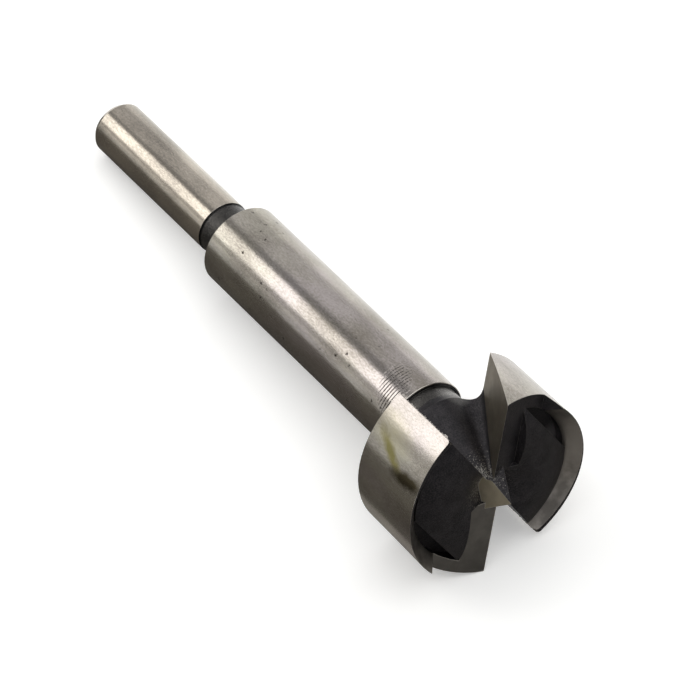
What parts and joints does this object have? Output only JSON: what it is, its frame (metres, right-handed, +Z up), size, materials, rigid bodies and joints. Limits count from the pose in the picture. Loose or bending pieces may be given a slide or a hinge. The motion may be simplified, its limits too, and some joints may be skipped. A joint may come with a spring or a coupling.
{
  "type": "wood boring bit",
  "caption": "Two-wing boring bit with a centre spur and a plain round shank, for flat-bottomed round holes in wood.",
  "frame": {"origin": "on the surface that the bit lies on, under the middle of its bounding box", "axes": "+X along the lying bit towards its cutting end, +Z up; the bit's own axis leans 6 degrees up towards +X"},
  "size_m": [0.12, 0.035, 0.034],
  "materials": {
    "tool_steel": "ground shank, body and rims; dark forged scale on the necks and inside the head"
  },
  "bodies": {
    "root": {"boring_bit": "tool_steel"}
  },
  "joints": []
}
